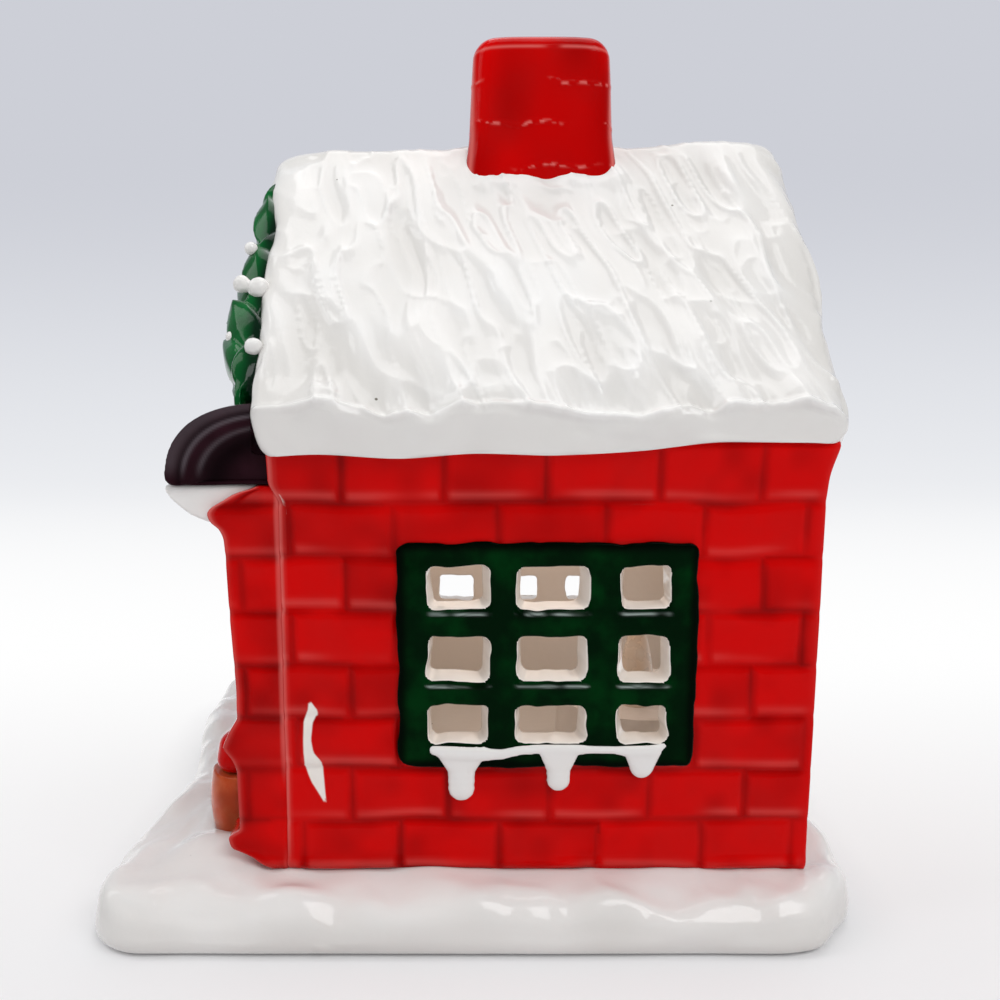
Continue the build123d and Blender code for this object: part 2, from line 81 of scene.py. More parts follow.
def smooth_step(low, high, value):
    """0 below low, 1 above high, and a soft rise between them."""
    share = np.clip((value - low) / (high - low), 0, 1)
    return share * share * (3 - 2 * share)


def dice(first, second, third, seed):
    """A repeatable number from 0 to 1 for each place on a whole-number grid."""
    mixed = first.astype(np.int64) * 374761393 + second.astype(np.int64) * 668265263
    mixed = (mixed + third.astype(np.int64) * 1274126177 + seed * 974634777) & 0xFFFFFFFF
    mixed = ((mixed ^ (mixed >> 13)) * 1274126177) & 0xFFFFFFFF
    return ((mixed ^ (mixed >> 16)) & 0xFFFF) / 0xFFFF


def lumps(points, size, seed=0):
    """Smooth lumps from -1 to 1, about size across; size is one number, or one per axis."""
    grid = points / size
    cell = np.floor(grid)
    share = grid - cell
    share = share * share * (3 - 2 * share)
    total = np.zeros(len(points))
    for corner in itertools.product((0, 1), repeat=3):
        weight = np.prod(np.where(np.array(corner) == 1, share, 1 - share), axis=1)
        total += weight * dice(*(cell + corner).T, seed)
    return 2 * total - 1


def crests(points, size, seed=0):
    """Thin winding crests of height 1, with hollows of 0 between them."""
    return np.clip(1 - np.abs(lumps(points, size, seed)) / 0.5, 0, 1) ** 2


def bump(value, place, reach):
    """A soft hump of height 1 around a place."""
    return np.exp(-(((value - place) / reach) ** 2))


def round_off(gap, reach):
    """How far a rounded edge has dropped, 0 at that reach from the edge and 1 at the edge itself."""
    share = np.clip(1 - gap / reach, 0, 1)
    return 1 - np.sqrt(1 - share * share)


def inside_chain(first, second, chain):
    """How far each place lies inside a chain of (first, second, half width) stops; outside is below 0."""
    best = np.full(len(first), -np.inf)
    for (a0, b0, w0), (a1, b1, w1) in zip(chain, chain[1:]):
        run = (a1 - a0) ** 2 + (b1 - b0) ** 2
        share = np.clip(((first - a0) * (a1 - a0) + (second - b0) * (b1 - b0)) / run, 0, 1)
        away = np.hypot(first - a0 - share * (a1 - a0), second - b0 - share * (b1 - b0))
        best = np.maximum(best, w0 + share * (w1 - w0) - away)
    return best


def outside_box(points, low, high):
    """How far each place lies outside a level rectangle, seen from above."""
    gap = np.maximum(np.maximum(low[:2] - points[:, :2], points[:, :2] - high[:2]), 0)
    return np.hypot(gap[:, 0], gap[:, 1])


# Brick bond of the walls
course = 9.93
brick_length = 18.4
bond_start = -14.6
bed_width = 0.8
joint_width = 0.7


def bricks(along, up, seed):
    """Depth of the joints, each brick's own number and tilt, and a painted highlight along its foot."""
    spot = np.stack([along, up, np.full(len(up), float(seed))], axis=1)
    along = along + 0.5 * lumps(spot, 8, seed)
    level = (up + 0.4 * lumps(spot, 11, seed + 1) - ground) / course
    row = np.floor(level)
    to_bed = np.abs(level - np.round(level)) * course
    place = (along - bond_start) / brick_length + (row % 2) / 2
    joint = np.round(place)
    place = place + 0.1 * (dice(joint, row, row * 0, seed) - 0.5)
    to_joint = np.abs(place - joint) * brick_length
    depth = np.maximum(bump(to_bed, 0, bed_width), bump(to_joint, 0, joint_width))
    fade = 0.75 + 0.35 * lumps(spot, 13, seed + 2)
    own, tilt = (dice(np.floor(place), row, row * 0 + number, seed) for number in (3, 4))
    height = level - row
    leaning = (tilt - 0.5) * (height - 0.5) * 2
    patchy = smooth_step(-0.7, 0.3, lumps(spot, 12, seed + 3))
    # A pale line along each brick's foot, broken in patches: painted highlight.
    brick_highlight = bump(height * course, 1.5, 0.7) * smooth_step(0.6, 1.6, to_joint) * patchy
    return depth * fade, own, leaning, brick_highlight


# Making and shaping meshes


def link(obj):
    bpy.context.scene.collection.objects.link(obj)
    return obj


def cast(name, mesh, voxel, soften=2):
    """One dense closed casting of a mesh, with its edges softened as glaze softens them."""
    obj = link(bpy.data.objects.new(name, mesh))
    remesh = obj.modifiers.new("voxels", "REMESH")
    remesh.mode = "VOXEL"
    remesh.voxel_size = voxel * MM
    return smoothed(obj, soften)


def smoothed(obj, times):
    """Evens out a mesh that many times, and keeps the result."""
    smooth = obj.modifiers.new("soften", "SMOOTH")
    smooth.iterations = times
    graph = bpy.context.evaluated_depsgraph_get()
    dense = bpy.data.meshes.new_from_object(obj.evaluated_get(graph))
    obj.modifiers.clear()
    obj.data = dense
    dense.shade_smooth()
    return obj


def cast_node(node, voxel, soften=2, more=None):
    """A casting of a CAD node, with a few more shapes melted in."""
    mesh = frame["nodes"][node].data.copy()
    if more:
        joined = bmesh.new()
        joined.from_mesh(mesh)
        joined.from_mesh(more.mesh(node + "_more"))
        joined.to_mesh(mesh)
        joined.free()
    return cast("glazed_" + node, mesh, voxel, soften)


def places(obj):
    """The places of a mesh's points, in millimetres."""
    flat = np.empty(len(obj.data.vertices) * 3)
    obj.data.vertices.foreach_get("co", flat)
    return flat.reshape(-1, 3) / MM


def facing(obj):
    """The outward directions at a mesh's points."""
    flat = np.empty(len(obj.data.vertices) * 3, np.float32)
    obj.data.vertex_normals.foreach_get("vector", flat)
    return flat.reshape(-1, 3).astype(float)


def reshape(obj, points):
    obj.data.vertices.foreach_set("co", (points * MM).ravel())
    obj.data.update()


def push_out(obj, amount):
    """Moves each point along its outward direction, by its own amount."""
    reshape(obj, places(obj) + facing(obj) * amount[:, None])


def store_side(obj, points, sign):
    """Stores the points of a piece shaped on the right, mirrored where it belongs on the left."""
    if sign < 0:
        obj.data.flip_normals()
    points = points * (sign, 1, 1)
    reshape(obj, points)
    return points


def paint(obj, layer, amount):
    """Keeps a share from 0 to 1 for each point, for the material to read."""
    attribute = obj.data.attributes.new(layer, "FLOAT", "POINT")
    attribute.data.foreach_set("value", np.clip(amount, 0, 1).astype(np.float32))


class Blank:
    """Closed shapes gathered into one mesh, to be cast together."""

    def __init__(self):
        ball = bmesh.new()
        bmesh.ops.create_icosphere(ball, subdivisions=2, radius=1)
        self.ball_points = np.array([v.co for v in ball.verts])
        self.ball_faces = [[v.index for v in face.verts] for face in ball.faces]
        ball.free()
        self.points, self.faces = [], []

    def add(self, points, faces):
        start = len(self.points)
        self.points.extend(points)
        self.faces.extend([[start + i for i in face] for face in faces])

    def block(self, low, high):
        """An upright block between two opposite corners."""
        points = [np.array(point) for point in itertools.product(*zip(low, high))]
        faces = [(0, 1, 3, 2), (4, 6, 7, 5), (0, 4, 5, 1), (2, 3, 7, 6), (0, 2, 6, 4), (1, 5, 7, 3)]
        self.add(points, faces)

    def ball(self, centre, radii):
        self.add(self.ball_points * radii + np.asarray(centre), self.ball_faces)

    def chain(self, stops, flat=(1, 1, 1)):
        """Balls so close that they melt together, along stops of (x, y, z, radius)."""
        for first, last in zip(np.array(stops, float), np.array(stops[1:], float)):
            gap = np.linalg.norm(last[:3] - first[:3])
            count = max(2, math.ceil(gap / (0.4 * min(first[3], last[3]))))
            for share in np.linspace(0, 1, count):
                stop = first + share * (last - first)
                self.ball(stop[:3], stop[3] * np.array(flat))

    def leaf(self, root, reach, out, length, width, thickness, arch):
        """A curved leaf from its root along reach, with its face towards out and a rib along it."""
        side = np.cross(out, reach)
        rows, columns = 12, 7
        faces, top, under = [], [], []
        for u in np.linspace(0, 1, rows):
            half = 0.5 * width * max(math.sin(math.pi * u**0.85), 0) ** 0.7 + 0.12
            rise = arch * math.sin(math.pi * 0.8 * u)
            for v in np.linspace(-1, 1, columns):
                rib = 0.5 * (1 - abs(v)) - 0.5 * v * v
                point = root + reach * (length * u) + side * (half * v) + out * (rise + rib)
                top.append(point + out * (thickness / 2))
                under.append(point - out * (thickness / 2))
        size = rows * columns
        for i, j in itertools.product(range(rows - 1), range(columns - 1)):
            a = i * columns + j
            faces.append([a, a + 1, a + columns + 1, a + columns])
            faces.append([size + a + columns, size + a + columns + 1, size + a + 1, size + a])
        rim = list(range(columns)) + [i * columns + columns - 1 for i in range(1, rows)]
        rim += [size - 1 - j for j in range(1, columns)] + [i * columns for i in range(rows - 2, 0, -1)]
        for first, last in zip(rim, rim[1:] + rim[:1]):
            faces.append([last, first, size + first, size + last])
        self.add(top + under, faces)

    def mesh(self, name):
        made = bpy.data.meshes.new(name)
        made.from_pydata([tuple(p * MM) for p in np.array(self.points)], [], self.faces)
        return made


# Materials


def srgb(red, green, blue):
    """A screen colour of 0 to 255, as the shader takes it."""
    shares = np.array([red, green, blue]) / 255
    return (*np.where(shares <= 0.04045, shares / 12.92, ((shares + 0.055) / 1.055) ** 2.4), 1)


class Tree:
    """The node tree of one material, with short calls for the nodes used here."""

    def __init__(self, name):
        self.material = bpy.data.materials.new(name)
        self.material.use_nodes = True
        self.nodes = self.material.node_tree.nodes
        self.shader = self.nodes["Principled BSDF"]
        self.where = self.nodes.new("ShaderNodeTexCoord").outputs["Object"]

    def feed(self, target, value):
        """Sets a socket to a plain value, or links it to another node's output."""
        if isinstance(value, bpy.types.NodeSocket):
            self.material.node_tree.links.new(value, target)
        else:
            target.default_value = value

    def set(self, **values):
        for name, value in values.items():
            self.feed(self.shader.inputs[name.replace("_", " ")], value)

    def clouds(self, size, detail=3.0, stretch=(1, 1, 1)):
        """Noise from 0 to 1 with lumps of about size millimetres, longer along the stretched axes."""
        scaled = self.nodes.new("ShaderNodeMapping")
        scaled.inputs["Scale"].default_value = [1 / s for s in stretch]
        self.feed(scaled.inputs["Vector"], self.where)
        node = self.nodes.new("ShaderNodeTexNoise")
        node.inputs["Scale"].default_value = 1 / (size * MM)
        node.inputs["Detail"].default_value = detail
        self.feed(node.inputs["Vector"], scaled.outputs["Vector"])
        return node.outputs["Fac"]

    def specks(self, size, share):
        """Sparse dots: 1 inside a dot, and only some of the cells have one."""
        node = self.nodes.new("ShaderNodeTexVoronoi")
        node.inputs["Scale"].default_value = 1 / (size * MM)
        self.feed(node.inputs["Vector"], self.where)
        dot = self.band(node.outputs["Distance"], 0.13, 0.08)
        split = self.nodes.new("ShaderNodeSeparateColor")
        self.feed(split.inputs["Color"], node.outputs["Color"])
        return self.times(dot, self.band(split.outputs["Red"], share, share * 0.8))

    def layer(self, name):
        """A share painted on the mesh."""
        node = self.nodes.new("ShaderNodeAttribute")
        node.attribute_name = name
        return node.outputs["Fac"]

    def band(self, value, low, high, start=0.0, end=1.0):
        """A soft step from start to end while value goes from low to high."""
        node = self.nodes.new("ShaderNodeMapRange")
        node.interpolation_type = "SMOOTHSTEP"
        for socket, number in zip(list(node.inputs)[:5], (value, low, high, start, end)):
            self.feed(socket, number)
        return node.outputs["Result"]

    def combine(self, operation, first, second):
        node = self.nodes.new("ShaderNodeMath")
        node.operation = operation
        self.feed(node.inputs[0], first)
        self.feed(node.inputs[1], second)
        return node.outputs["Value"]

    def times(self, first, second):
        return self.combine("MULTIPLY", first, second)

    def mix(self, share, first, second):
        node = self.nodes.new("ShaderNodeMix")
        node.data_type = "RGBA"
        self.feed(node.inputs["Factor"], share)
        self.feed(node.inputs[6], first)
        self.feed(node.inputs[7], second)
        return node.outputs[2]

    def relief(self, height, depth):
        """A fine relief of that depth, in millimetres."""
        node = self.nodes.new("ShaderNodeBump")
        node.inputs["Distance"].default_value = depth * MM
        self.feed(node.inputs["Height"], height)
        self.set(Normal=node.outputs["Normal"])


clay = srgb(248, 242, 235)


def glaze(name, main, pooled_and_shaded, cloudy, painted_highlight, gloss=0.1, specular=0.35, mottle=14.0, dirt=0.0, rim=0.3):
    """Ceramic glaze: deeper where it pools and where shade is painted, paler where a highlight is painted,
    and bare clay where there is none.
    """
    tree = Tree(name)
    colour = tree.mix(tree.band(tree.clouds(mottle), 0.4, 0.75), main, cloudy)
    # The darker colour lays pooled glaze and painted shade; the paler one lays a painted highlight.
    colour = tree.mix(tree.layer("pooling_and_shade"), colour, pooled_and_shaded)
    colour = tree.mix(tree.layer("painted_highlight"), colour, painted_highlight)
    if dirt:
        colour = tree.mix(tree.specks(2.6, dirt), colour, srgb(122, 117, 108))
    bare = tree.band(tree.layer("bare"), 0.4, 0.6)
    tree.set(Base_Color=tree.mix(bare, colour, clay))
    uneven = tree.band(tree.clouds(9.0, 4.0), 0.35, 0.75, gloss, gloss + 0.08)
    tree.set(Roughness=tree.mix(bare, uneven, (0.6, 0.6, 0.6, 1)), Specular_IOR_Level=specular)
    turned = tree.nodes.new("ShaderNodeLayerWeight").outputs["Facing"]
    tree.set(Coat_Weight=tree.band(turned, rim, rim + 0.45), Coat_Roughness=0.05, Coat_IOR=1.5)
    tree.relief(tree.clouds(2.2, 2.0), 0.05)
    return tree.material


def plastic(name, main, shade, gloss, specular=0.5, see_through=0.0):
    """Moulded plastic with a faint mottle and a fine moulded grain."""
    tree = Tree(name)
    tree.set(Base_Color=tree.mix(tree.band(tree.clouds(6.0), 0.35, 0.7), main, shade))
    tree.set(Roughness=tree.band(tree.clouds(3.0), 0.3, 0.7, gloss, gloss + 0.12))
    tree.set(Specular_IOR_Level=specular, Transmission_Weight=see_through)
    tree.relief(tree.clouds(0.5, 2.0), 0.015)
    return tree.material


def metal(name, main, shade, gloss, grain):
    """Rolled sheet metal, with its grain along one axis."""
    tree = Tree(name)
    lines = tree.clouds(0.6, 3.0, grain)
    tree.set(Base_Color=tree.mix(tree.band(lines, 0.3, 0.7), main, shade))
    tree.set(Metallic=1.0, Roughness=tree.band(lines, 0.3, 0.7, gloss, gloss + 0.15))
    tree.relief(lines, 0.01)
    return tree.material


snow_white = srgb(244, 243, 241)
# In each glaze the second colour is for pooled glaze and painted shade, and the fourth is its painted
# highlight colour.
finishes = {
    "snow_glaze": glaze(
        "snow_glaze", srgb(243, 241, 238), srgb(216, 213, 208), snow_white, snow_white,
        gloss=0.07, specular=0.32, dirt=0.02, rim=0.55,
    ),
    "brick_glaze": glaze(
        "brick_glaze", srgb(217, 2, 2), srgb(140, 0, 0), srgb(207, 10, 9), srgb(234, 116, 110),
        specular=0.06, rim=0.5,
    ),
    "window_glaze": glaze(
        "window_glaze", srgb(0, 24, 6), srgb(0, 4, 1), srgb(0, 48, 14), srgb(176, 190, 184),
        specular=0.02, mottle=7.0,
    ),
    "leaf_glaze": glaze(
        "leaf_glaze", srgb(0, 86, 36), srgb(0, 32, 15), srgb(4, 108, 48), srgb(60, 160, 100),
        specular=0.2, mottle=6.0,
    ),
    "awning_glaze": glaze(
        "awning_glaze", srgb(36, 14, 21), srgb(12, 3, 6), srgb(48, 22, 31), srgb(120, 112, 118),
        specular=0.03, mottle=8.0,
    ),
    "wood_glaze": glaze(
        "wood_glaze", srgb(198, 76, 34), srgb(110, 40, 18), srgb(208, 104, 62), srgb(222, 150, 112),
        specular=0.1, mottle=5.0,
    ),
    "white_plastic": plastic("white_plastic", srgb(250, 247, 244), srgb(240, 236, 232), 0.32),
    "lens_plastic": plastic("lens_plastic", srgb(252, 240, 226), srgb(248, 228, 206), 0.2, see_through=0.12),
    "lamp_plastic": plastic("lamp_plastic", srgb(255, 206, 110), srgb(240, 178, 70), 0.12, see_through=0.6),
    "cell_steel": metal("cell_steel", srgb(214, 214, 216), srgb(188, 188, 190), 0.2, (8, 1, 1)),
    "contact_brass": metal("contact_brass", srgb(222, 190, 110), srgb(196, 158, 84), 0.22, (1, 8, 1)),
    "switch_plastic": plastic("switch_plastic", srgb(42, 42, 44), srgb(34, 34, 36), 0.35),
}


def dress(obj, node):
    """Lets a piece stand for its CAD node, on the same body and with the finish of the same slot."""
    obj.data.materials.clear()
    obj.data.materials.append(finishes[slot_of[node]])
    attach(obj, body_of[node])
    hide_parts(node)


# Snow base

base_corner = 18.0
corner_power = 5.0
foot_lift = 0.2
foot_tuck = 0.8
base_spread = 0.9
front_hollow = 5.0
# Snow piled up against the walls, the pillars and the tub
wall_drift, pillar_drift, tub_drift = 0.9, 1.6, 2.0
# How far inside the walls' outer faces the snow starts, so that no gap shows
buried = 1.2
# A burst bubble in the glaze of the near side
bubble_y, bubble_z = -27.8, 2.6


def base_relief(points, normals):
    """How far the snow stands out of the plain slab."""
    house_low = np.array([-wall_half, wall_front]) + buried
    house_high = np.array([wall_half, wall_back]) - buried
    away = outside_box(points, house_low, house_high)
    top = smooth_step(0.3, 0.8, normals[:, 2])
    side = 1 - np.abs(normals[:, 2])
    flat = points * (1, 1, 0)
    rise = wall_drift * np.exp(-away / 2.0) * (1 + 0.9 * lumps(flat, 9, 2))
    rise += 0.5 * lumps(flat, 8, 4)
    rise += 0.4 * lumps(flat, 17, 5)
    rise -= 0.3
    rise += 0.5 * crests(flat, 9, 8)
    for sign in (1, -1):
        to_pillar = np.hypot(points[:, 0] - sign * (wall_half - 4), points[:, 1] - wall_front + 11)
        rise += pillar_drift * bump(to_pillar, 0, 8)
    rise += tub_drift * bump(outside_box(points, *corners("plant_tub")), 0, 4)
    light_lane = smooth_step(27, 23, np.abs(points[:, 0]))
    light_lane = light_lane * smooth_step(wall_back - 3, wall_back, points[:, 1])
    relief = top * smooth_step(0.0, 0.8, away) * (rise * (1 - light_lane) - 0.3 * light_lane)
    relief += side * (0.6 * lumps(points, (13, 13, 9), 6) + 0.5 * bump(points[:, 2], 3, 4))
    to_bubble = np.hypot(points[:, 1] - bubble_y, points[:, 2] - bubble_z)
    relief += 0.8 * bump(to_bubble, 0, 0.9) * (points[:, 0] > wall_half) * side
    relief *= smooth_step(0.2, 1.2, points[:, 2])
    return relief - foot_tuck * side * round_off(points[:, 2], 2)


def round_back_corners(points, high):
    """Pulls the two back corners of the base in to a round."""
    into_x = np.maximum(np.abs(points[:, 0]) - high[0] + base_corner, 0)
    into_y = np.maximum(points[:, 1] - high[1] + base_corner, 0)
    reach = np.maximum(np.hypot(into_x, into_y), 0.01)
    rounder = (into_x / reach) ** corner_power + (into_y / reach) ** corner_power
    rounder = np.where(into_x * into_y > 0, rounder ** (1 / corner_power), 1)
    points[:, 0] -= np.sign(points[:, 0]) * into_x * (1 - rounder)
    points[:, 1] -= into_y * (1 - rounder)


def make_base():
    base = cast_node("snow_base", 0.8, 4)
    points, normals = places(base), facing(base)
    low, high = corners("snow_base")
    edge_gaps = [high[0] - np.abs(points[:, 0]), points[:, 1] - low[1], high[1] - points[:, 1]]
    to_edge = np.min(edge_gaps, axis=0)
    flat = points * (1, 1, 0)
    push_out(base, base_relief(points, normals))
    points = places(base)
    crest = smooth_step(9, 3, to_edge) * (1.3 * lumps(flat, 11, 9) + 0.6 * lumps(flat, 5, 10))
    crest -= (1.8 + 1.2 * lumps(flat, 12, 3)) * np.clip(1 - to_edge / 7, 0, 1) ** 2
    points[:, 2] += smooth_step(2, 8, points[:, 2]) * crest
    points[:, 2] = np.maximum(points[:, 2], foot_lift * smooth_step(5, 1, to_edge))
    hollow = front_hollow * smooth_step(wall_front - 12, low[1], points[:, 1])
    points[:, 1] += hollow * bump(points[:, 0], 3, 26)
    spread = smooth_step(wall_half - 10, high[0], np.abs(points[:, 0]))
    points[:, 0] += base_spread * np.sign(points[:, 0]) * spread
    round_back_corners(points, high)
    reshape(base, points)
    smoothed(base, 5)
    points = places(base)
    side = 1 - np.abs(normals[:, 2])
    # Darker on the sides than on the top, and darker still towards the foot: painted shade; the lumps are the
    # glaze's own uneven tone.
    pooling_and_shade = 0.3 * lumps(points, 12, 7) + 0.35 * side
    paint(base, "pooling_and_shade", pooling_and_shade + 0.2 * smooth_step(4, 1, points[:, 2]))
    dress(base, "snow_base")


# Brick walls, pillars and chimney

chimney_course = 8.2
white_streak = [
    (-30.5, 43.5, 0.3), (-30.1, 41.9, 0.9), (-30.9, 40.0, 0.8), (-31.2, 36.5, 0.7),
    (-31.0, 33.8, 0.9), (-30.2, 31.6, 1.6), (-29.5, 28.6, 1.2), (-28.6, 25.7, 0.5), (-28.1, 24.1, 0.15),
]
streak_hook = [(-30.4, 42.6, 0.5), (-29.2, 41.4, 0.2)]
small_streak = [(-34.5, 82.2, 0.0), (-34.3, 80.6, 0.2), (-34.0, 78.2, 0.0)]


def lay_bricks(obj, depth, seed):
    """Presses brick joints into the outward faces of a wall, and gives where the glaze pools and where a
    highlight is painted along the bricks' feet.
    """
    points, normals = places(obj), facing(obj)
    on_side = np.abs(normals[:, 0]) > np.abs(normals[:, 1])
    along = np.where(on_side, points[:, 1], points[:, 0] + brick_length / 4)
    joints, brick, leaning, brick_highlight = bricks(along, points[:, 2], seed)
    middle = 0.5 * (wall_front + wall_back)
    outward = np.where(on_side, points[:, 0] * normals[:, 0], (points[:, 1] - middle) * normals[:, 1])
    shown = smooth_step(0.0, 6.0, outward) * (1 - np.abs(normals[:, 2]))
    to_corner = np.where(on_side, wall_back - points[:, 1], wall_half - np.abs(points[:, 0]))
    shown = shown * (0.15 + 0.85 * smooth_step(0.4, 3.0, to_corner))
    amount = depth * (0.3 - joints + 0.6 * (brick - 0.5) + 0.7 * leaning) + 0.25 * lumps(points, 14, seed + 5)
    amount += bump(points[:, 2] - ground, 1.6, 1.0) * (0.5 + 0.4 * lumps(points, 6, seed + 6))
    push_out(obj, shown * amount)
    cloudy = 0.35 * lumps(points, 9, seed + 7) + 0.25 * lumps(points, 4, seed + 8)
    # The second share is the painted highlight along the bricks' feet.
    return shown * (0.65 * joints + 0.5 * (brick - 0.3) + cloudy), 0.24 * shown * brick_highlight


flare_height = 7.0
flare_reach = 1.5


def flare(obj):
    """Swells the top of a wall outwards and up under the snow that hangs over it."""
    points = places(obj)
    share = smooth_step(eave_z - flare_height, eave_z + 1, points[:, 2]) ** 2
    outer_x = smooth_step(inner_half, wall_half, np.abs(points[:, 0]))
    points[:, 0] += np.sign(points[:, 0]) * flare_reach * share * outer_x
    points[:, 1] += flare_reach * share * smooth_step(wall_back - 6, wall_back, points[:, 1])
    points[:, 2] += 2.0 * share * outer_x
    awning_foot = corners("awning")[0][2]
    over_awning = smooth_step(awning_foot - 3, awning_foot + 1, points[:, 2])
    points[:, 1] -= flare_reach * over_awning * smooth_step(wall_front + 5, wall_front, points[:, 1])
    points[:, 0] += np.sign(points[:, 0]) * 0.6 * over_awning * outer_x
    reshape(obj, points)


def scratches(points):
    """How far each place lies inside the white scratches of the near wall."""
    chains = (white_streak, streak_hook, small_streak)
    return np.max([inside_chain(points[:, 1], points[:, 2], chain) for chain in chains], axis=0)


def make_side_wall(node, sign):
    wall = cast_node(node, 0.6)
    pooling_and_shade, brick_highlight = lay_bricks(wall, 0.6, 11)
    points, normals = places(wall), facing(wall)
    indoors = smooth_step(2.0, 3.0, np.minimum(points[:, 1] - wall_front, wall_back - points[:, 1]))
    inner_face = smooth_step(0.5, 0.0, normals[:, 0] * sign)
    bare = indoors * inner_face * smooth_step(1.2, 0.6, np.abs(points[:, 0]) - inner_half)
    outside = np.abs(points[:, 0]) > wall_half - 1
    if sign > 0:
        bare = np.maximum(bare, (0.5 + 0.6 * np.maximum(scratches(points), -1)) * outside)
    # Pale lines along the wall's front and back edges, and along the bricks' feet: painted highlights.
    edge_highlights = 0.8 * bump(points[:, 1], wall_front + 0.6, 0.35) + 0.15 * bump(points[:, 1], wall_back - 0.5, 0.5)
    broken = smooth_step(-0.6, 0.4, lumps(points, (9, 9, 25), 15))
    flare(wall)
    paint(wall, "painted_highlight", brick_highlight + edge_highlights * broken * outside)
    paint(wall, "pooling_and_shade", pooling_and_shade)
    paint(wall, "bare", bare)
    dress(wall, node)


def make_gable(node, outer_face):
    wall = cast_node(node, 0.7)
    pooling_and_shade, brick_highlight = lay_bricks(wall, 0.6, 12)
    points = places(wall)
    paint(wall, "pooling_and_shade", pooling_and_shade)
    # Pale line along the bricks' feet: painted highlight.
    paint(wall, "painted_highlight", brick_highlight)
    low, high = corners(node)
    thickness = high[1] - low[1]
    depth = np.abs(points[:, 1] - outer_face)
    off_ends = smooth_step(inner_half - 0.5, inner_half - 1.0, np.abs(points[:, 0]))
    inner_face = smooth_step(thickness - 1.0, thickness - 0.4, depth)
    paint(wall, "bare", smooth_step(0.8, 1.6, depth) * np.maximum(off_ends, inner_face))
    dress(wall, node)


bead_radius = 0.6
# How far a pillar's front swells out, by the height above the ground
pillar_profile = [
    (0.4, -5.9), (2.4, -3.0), (4.0, 1.7), (6.4, 2.0), (7.6, -0.4), (19.4, -0.2), (21.7, 0.6),
    (23.9, 2.3), (27.1, 0.9), (29.4, -0.5), (35.0, -0.6), (52.0, 0.2), (63.3, 0.6), (65.1, 1.3),
    (66.1, 2.7), (67.8, 3.3), (68.8, 2.7), (69.9, 0.5), (71.2, -1.4), (72.2, -5.0),
]


def make_pillar(node, sign):
    low, high = corners(node)
    bead = Blank()
    joint = (sign * (wall_half - 0.3), high[1])
    bead.chain([(*joint, ground - 1, bead_radius), (*joint, high[2], bead_radius)])
    pillar = cast_node(node, 0.5, 3, bead)
    pooling_and_shade, brick_highlight = lay_bricks(pillar, 0.35, 13)
    points = places(pillar)
    along, height = points[:, 1].copy(), points[:, 2] - ground
    outer = smooth_step(wall_half - 1.5, wall_half - 0.5, np.abs(points[:, 0]))
    front_share = smooth_step(high[1], low[1], along)
    foot = smooth_step(8, 3, height)
    swell = np.interp(height, *zip(*pillar_profile)) + 1.2 * foot * lumps(points, 4, 21)
    points[:, 1] -= front_share * swell
    cap = bump(height, 67.5, 4.0)
    points[:, 0] += sign * outer * (0.9 * front_share * cap + 0.8 * foot * lumps(points, 3, 22))
    reshape(pillar, points)
    smoothed(pillar, 4)
    broken = smooth_step(-0.6, 0.4, lumps(points, (9, 9, 22), 26))
    # Pale lines along the pillar's two edges and along the bricks' feet: painted highlights.
    edge_highlights = bump(along, low[1] + 0.3, 0.45) + bump(along, high[1] + 0.1, 0.35)
    paint(pillar, "pooling_and_shade", pooling_and_shade + 0.2 + 0.3 * foot)
    paint(pillar, "painted_highlight", 0.6 * brick_highlight + 0.75 * outer * broken * edge_highlights)
    dress(pillar, node)


def make_chimney():
    chimney = cast_node("chimney", 0.3, 5)
    points, normals = places(chimney), facing(chimney)
    low, high = corners("chimney")
    centre, half = 0.5 * (low[1] + high[1]), 0.5 * (high[1] - low[1])
    height = (points[:, 2] - low[2]) / (high[2] - low[2])
    to_top = high[2] - points[:, 2]
    across = np.abs(points[:, 1] - centre) / half
    wandering = to_top - 1.0 + 0.8 * lumps(points, (3, 3, 9), 22)
    to_line = np.abs(wandering / chimney_course - np.round(wandering / chimney_course)) * chimney_course
    broken = smooth_step(-0.2, 0.2, lumps(points, (6, 6, 9), 23))
    sides = smooth_step(0.5, 0.2, normals[:, 2])
    push_out(chimney, sides * (0.1 * bump(to_line, 0, 0.5) * broken + 0.15 * lumps(points, 9, 25)))
    points = places(chimney)
    points[:, 1] = centre + (points[:, 1] - centre) * (1.03 + 0.04 * smooth_step(0.35, 0.1, height))
    points[:, 2] += 0.9 * height - 1.5 * across**4 * smooth_step(0.6, 1.0, height)
    reshape(chimney, points)
    paint(chimney, "pooling_and_shade", 0.25 + 0.4 * lumps(points, (7, 7, 12), 26))
    # Glints broken along the course lines, a pale line under the top rim and pale bands on the rounded
    # corners: painted highlights and painted reflection.
    glints = bump(to_line, 0, 0.28) * broken * smooth_step(0.0, 0.3, lumps(points, (0.8, 0.8, 0.6), 27))
    lip = bump(to_top, 2.4, 0.3) * smooth_step(-0.7, 0.0, lumps(points, 4, 28))
    corner = bump((1 - across) * half, 0.9, 0.5)
    paint(chimney, "painted_highlight", sides * (glints + lip + 0.9 * corner))
    dress(chimney, "chimney")


# Roof


